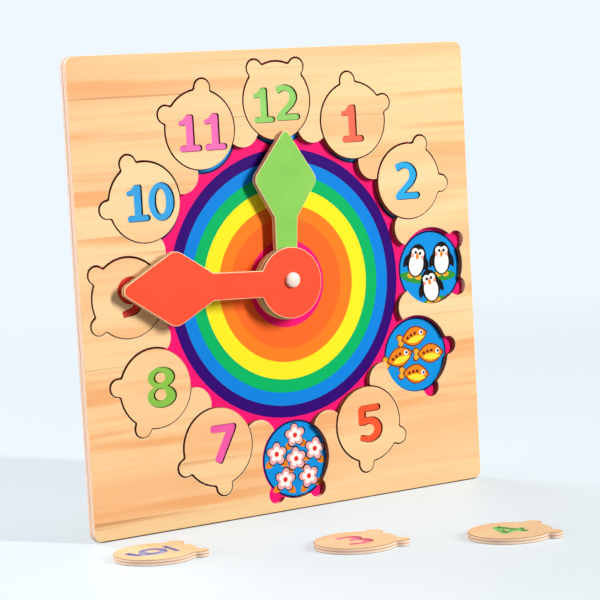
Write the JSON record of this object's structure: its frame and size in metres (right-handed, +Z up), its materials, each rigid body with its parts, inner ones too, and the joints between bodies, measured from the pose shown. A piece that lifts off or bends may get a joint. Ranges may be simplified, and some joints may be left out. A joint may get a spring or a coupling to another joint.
{
  "type": "wooden clock puzzle",
  "caption": "Square plywood teaching clock with two painted hands on a pin and eared number pieces that lift out of pockets round a rainbow dial.",
  "frame": {"origin": "middle of the bottom edge of the front frame, halfway through the frame's thickness, on the surface that the board stands on", "axes": "+Z up, -Y out of the face of the board towards the viewer, +X to the right as seen from the front"},
  "size_m": [0.318, 0.2092, 0.3],
  "materials": {
    "pine_plywood": "clear varnished pine plywood",
    "printed_paper": "colour print under clear lacquer",
    "thin_plywood": "bare thin plywood",
    "plain_plywood": "bare plywood",
    "green_painted_plywood": "green paint, bare ply edges",
    "red_painted_plywood": "red paint, bare ply edges",
    "off_white_plastic": "off-white plastic",
    "number_piece_plywood": "varnished pine plywood, painted engraved number"
  },
  "bodies": {
    "board": {"front_frame": "pine_plywood", "printed_sheet": "printed_paper", "back_board": "thin_plywood", "hub_spacer": "plain_plywood", "pivot_pin": "off_white_plastic", "pin_back_cap": "off_white_plastic"},
    "hour_hand": {"hour_hand": "green_painted_plywood"},
    "minute_hand": {"minute_hand": "red_painted_plywood"},
    "piece_1": {"number_piece_1": "number_piece_plywood"},
    "piece_2": {"number_piece_2": "number_piece_plywood"},
    "piece_3": {"number_piece_3": "number_piece_plywood"},
    "piece_4": {"number_piece_4": "number_piece_plywood"},
    "piece_5": {"number_piece_5": "number_piece_plywood"},
    "piece_6": {"number_piece_6": "number_piece_plywood"},
    "piece_7": {"number_piece_7": "number_piece_plywood"},
    "piece_8": {"number_piece_8": "number_piece_plywood"},
    "piece_9": {"number_piece_9": "number_piece_plywood"},
    "piece_10": {"number_piece_10": "number_piece_plywood"},
    "piece_11": {"number_piece_11": "number_piece_plywood"},
    "piece_12": {"number_piece_12": "number_piece_plywood"}
  },
  "joints": [
    {"name": "hour_hand_turn", "type": "hinge", "parent": "board", "child": "hour_hand", "pos_m": [-0.0012, -0.0046, 0.15121], "axis": [0, 1, 0], "continuous": true},
    {"name": "minute_hand_turn", "type": "hinge", "parent": "board", "child": "minute_hand", "pos_m": [-0.0012, -0.0087, 0.15121], "axis": [0, 1, 0], "continuous": true},
    {"name": "piece_1_lift", "type": "slide", "parent": "board", "child": "piece_1", "axis": [0, -1, 0], "range_m": [0, 0.02]},
    {"name": "piece_2_lift", "type": "slide", "parent": "board", "child": "piece_2", "axis": [0, -1, 0], "range_m": [0, 0.02]},
    {"name": "piece_3_lift", "type": "slide", "parent": "board", "child": "piece_3", "axis": [0, 0, 1], "range_m": [0, 0.06]},
    {"name": "piece_4_lift", "type": "slide", "parent": "board", "child": "piece_4", "axis": [0, 0, 1], "range_m": [0, 0.06]},
    {"name": "piece_5_lift", "type": "slide", "parent": "board", "child": "piece_5", "axis": [0, -1, 0], "range_m": [0, 0.02]},
    {"name": "piece_6_lift", "type": "slide", "parent": "board", "child": "piece_6", "axis": [0, 0, 1], "range_m": [0, 0.06]},
    {"name": "piece_7_lift", "type": "slide", "parent": "board", "child": "piece_7", "axis": [0, -1, 0], "range_m": [0, 0.02]},
    {"name": "piece_8_lift", "type": "slide", "parent": "board", "child": "piece_8", "axis": [0, -1, 0], "range_m": [0, 0.02]},
    {"name": "piece_9_lift", "type": "slide", "parent": "board", "child": "piece_9", "axis": [0, -1, 0], "range_m": [0, 0.0045]},
    {"name": "piece_10_lift", "type": "slide", "parent": "board", "child": "piece_10", "axis": [0, -1, 0], "range_m": [0, 0.02]},
    {"name": "piece_11_lift", "type": "slide", "parent": "board", "child": "piece_11", "axis": [0, -1, 0], "range_m": [0, 0.02]},
    {"name": "piece_12_lift", "type": "slide", "parent": "board", "child": "piece_12", "axis": [0, -1, 0], "range_m": [0, 0.0005]}
  ]
}
